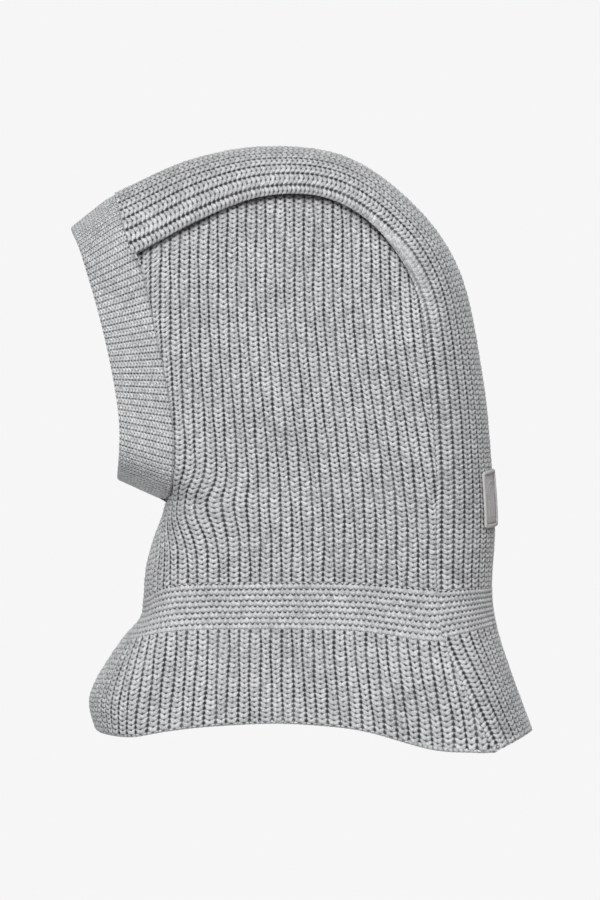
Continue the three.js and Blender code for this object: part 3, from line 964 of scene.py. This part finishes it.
def patchCordMaterial():
    s = Shader("patchCord")
    k, v = s.pair("stitches")
    place = s.place()
    thread = s.cos((v + k * 0.12) * (2 * math.pi))
    share = thread * 0.25 + s.noise(place, 900, 2.0) * 0.8
    colour = s.mix(share, (0.42, 0.41, 0.40, 1), (0.74, 0.725, 0.70, 1))
    normal = s.node("ShaderNodeBump", {}, Strength=0.6, Distance=0.0003, Height=thread)
    return s.finish(colour, 0.55, normal, Sheen_Weight=0.1, Specular_IOR_Level=0.4)


patchCloth = patchClothMaterial()
patchCord = patchCordMaterial()


# Care label: a satin ribbon caught in the left seam inside, hanging forward from it, with rows of
# plain bars where the washing advice would be.
label = dict(x=48.4, front=71.2, back=113.0, low=-274.8, high=-249.2, thick=0.35, ripple=0.12,
             threads=(34, 48), lines=7, words=17)


def labelMaterial():
    s = Shader("labelSatin")
    k, v = s.pair("stitches")
    place = s.place()
    warp, weft = label["threads"]
    weave = s.cos(k * (2 * math.pi * warp)) * 0.5 + s.cos(v * (2 * math.pi * weft)) * 0.5
    line = s.ramp(s.cos(v * (2 * math.pi * label["lines"])), 0.55, 0.7)
    word = s.ramp(s.node("ShaderNodeTexWhiteNoise", dict(noise_dimensions="2D"),
                         s.vector(s.floor(k * label["words"]), s.floor(v * label["lines"] + 0.5), 0.0)),
                  0.22, 0.3)
    inside = s.ramp(s.absolute(k - 0.5), 0.40, 0.38) * s.ramp(s.absolute(v - 0.42), 0.36, 0.34)
    cloth = s.mix(s.noise(place, 400, 2.0), (0.66, 0.655, 0.64, 1), (0.80, 0.795, 0.78, 1))
    colour = s.mix(line * word * inside * 0.8, cloth, (0.10, 0.10, 0.11, 1))
    normal = s.node("ShaderNodeBump", {}, Strength=0.3, Distance=0.0001, Height=weave)
    return s.finish(colour, 0.42, normal, Sheen_Weight=0.1, Specular_IOR_Level=0.5)


def addCareLabel():
    along = np.linspace(0, 1, 61)
    up = np.linspace(0, 1, 41)
    turn = np.linspace(0, 2 * math.pi, 81)
    share = 0.5 - 0.5 * np.cos(turn)
    face = label["thick"] * np.sign(np.sin(turn)) * np.abs(np.sin(turn)) ** 0.3
    v, k = np.meshgrid(share, up)
    y = label["back"] + (label["front"] - label["back"]) * v
    z = label["low"] + (label["high"] - label["low"]) * k
    x = label["x"] + face[None, :] + label["ripple"] * np.sin(v * 5 + k * 2) * v
    satin = labelMaterial()
    grid = (np.stack([x, y, z], 2), np.stack([k, v], 2), np.ones(k.shape, bool))
    ends = []
    for row in (0, -1):
        half = len(turn) // 2
        top, bottom = grid[0][row, :half + 1], grid[0][row, half:][::-1]
        end = np.stack([top, bottom] if row == 0 else [bottom, top])
        flatUv = np.stack([np.full(end.shape[:2], k[row, 0]),
                           np.broadcast_to(share[:half + 1], end.shape[:2])], 2)
        ends.append((end, flatUv, np.ones(end.shape[:2], bool)))
    piece = makePiece("careLabel", [grid] + ends, satin, "ribbon", "care_label")
    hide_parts("care_label")


# Light, backdrop and camera
studio = dict(distance=6.0, pictureHeight=0.600, centre=(26.7, -197.7), floorDrop=0.35, sensor=36,
              aim=(0, 0.03, -0.2), key=43, fill=4, low=10, sky=0.47, backdrop=0.922)


def paperMaterial():
    s = Shader("studioPaper")
    level = studio["backdrop"]
    return s.show(s.node("ShaderNodeEmission", {}, (level, level, level, 1)))


# The backdrop is a wide bowl with a flat floor, lit by its own glow.
def addStage():
    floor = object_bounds()[0].z - studio["floorDrop"]
    turn = np.linspace(0, math.pi / 2, 24)
    radius = np.r_[0, 10 + 3 * np.sin(turn), 13]
    height = np.r_[0, 3 * (1 - np.cos(turn)), 9]
    around = np.linspace(0, 2 * math.pi, 97)
    r, a = np.meshgrid(radius, around, indexing="ij")
    p = np.stack([r * np.cos(a), r * np.sin(a), floor + np.repeat(height[:, None], len(around), 1)], 2)
    rows, columns = p.shape[:2]
    index = np.arange(rows * columns).reshape(rows, columns)
    faces = np.stack([index[:-1, :-1], index[1:, :-1], index[1:, 1:], index[:-1, 1:]], 2).reshape(-1, 4)
    mesh = bpy.data.meshes.new("studioBowl")
    mesh.from_pydata(p.reshape(-1, 3).tolist(), [], faces.tolist())
    mesh.shade_smooth()
    bowl = bpy.data.objects.new("studioBowl", mesh)
    bpy.context.scene.collection.objects.link(bowl)
    mesh.materials.append(paperMaterial())
    bowl.visible_diffuse = False
    bowl.visible_glossy = False
    bowl.visible_shadow = False


def addLight(name, place, size, power):
    lamp = bpy.data.lights.new(name, "AREA")
    lamp.shape = "DISK"
    lamp.size = size
    lamp.energy = power
    holder = bpy.data.objects.new(name, lamp)
    holder.location = place
    aim = Vector(studio["aim"]) - Vector(place)
    holder.rotation_euler = aim.to_track_quat("-Z", "Y").to_euler()
    bpy.context.scene.collection.objects.link(holder)


def addCamera():
    lens = bpy.data.cameras.new("camera")
    lens.sensor_width = studio["sensor"]
    lens.lens = studio["sensor"] * studio["distance"] / studio["pictureHeight"]
    lens.clip_end = 50
    camera = bpy.data.objects.new("camera", lens)
    y, z = (value * 0.001 for value in studio["centre"])
    camera.location = (studio["distance"], y, z)
    camera.rotation_euler = (math.pi / 2, 0, math.pi / 2)
    bpy.context.scene.collection.objects.link(camera)
    scene = bpy.context.scene
    scene.camera = camera
    world = bpy.data.worlds.new("studioSky")
    world.use_nodes = True
    world.node_tree.nodes["Background"].inputs[0].default_value = (1, 1, 1, 1)
    world.node_tree.nodes["Background"].inputs[1].default_value = studio["sky"]
    scene.world = world
    scene.view_settings.view_transform = "Standard"


def addLights():
    for name, place, size, power in (("keyLight", (2.1, 0.15, 1.1), 1.3, studio["key"]),
                                     ("fillLight", (-1.6, 0.3, 1.4), 1.6, studio["fill"]),
                                     ("topLight", (0.1, 0.0, 2.1), 1.6, studio["fill"]),
                                     ("lowLight", (1.6, -0.75, -0.68), 0.9, studio["low"])):
        addLight(name, place, size, power)


addSidePanels()
addNeckBands()
addBibs()
addCrownAndBack()
addFaceBand()
addSeams()
addHemEdge()
addPatch()
addCareLabel()
addStage()
addCamera()
addLights()
print("stage, camera and lights set")
